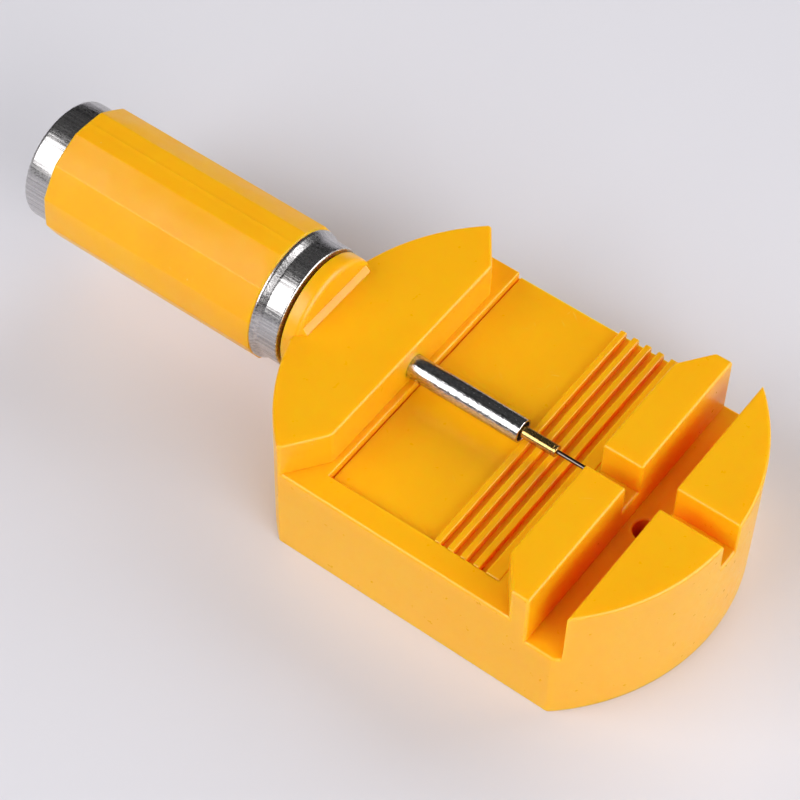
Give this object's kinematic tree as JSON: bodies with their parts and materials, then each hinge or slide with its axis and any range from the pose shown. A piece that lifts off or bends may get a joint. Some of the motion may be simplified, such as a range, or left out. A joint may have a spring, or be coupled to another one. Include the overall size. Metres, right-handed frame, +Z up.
{
  "type": "watch bracelet pin pusher",
  "caption": "Screw-driven pin pusher for watch bracelets: amber tray with slotted jaws, faceted turning handle, and a needle that drives link pins out.",
  "frame": {"origin": "middle of the base's flat underside, under the tool axis", "axes": "+X from the handle to the jaws along the tool axis, +Y towards the side where the tray is open, +Z up"},
  "size_m": [0.0919, 0.039, 0.0233],
  "materials": {
    "base_plastic": "glossy moulded amber, slightly see-through, fine scratches",
    "grip_plastic": "satin amber with a fine grain",
    "handle_metal": "bright, with fine lengthwise drawing marks",
    "tube_steel": "mirror polished",
    "post_steel": "cut thread, lightly oiled",
    "rod_steel": "plain ground",
    "holder_brass": "turned and polished",
    "needle_steel": "hardened, dark polished"
  },
  "bodies": {
    "base": {"base": "base_plastic", "threaded_post": "post_steel"},
    "pin": {"pin_holder": "holder_brass", "pin_clip": "rod_steel", "needle": "needle_steel"},
    "handle": {"grip": "grip_plastic", "grip_liner": "handle_metal", "front_collar": "handle_metal", "rear_cap": "handle_metal", "push_tube": "tube_steel", "thrust_rod": "rod_steel"}
  },
  "joints": [
    {"name": "pin_slide", "type": "slide", "parent": "base", "child": "pin", "axis": [1, 0, 0], "range_m": [-0.02605, 0.00032]},
    {"name": "handle_turn", "type": "hinge", "parent": "pin", "child": "handle", "pos_m": [-0.03, 0, 0.0151], "axis": [1, 0, 0], "range_deg": [-11700, 135]}
  ],
  "couplings": [
    {"joint": "pin_slide", "follows": "handle_turn", "m_per_rad": 0.00012732}
  ]
}
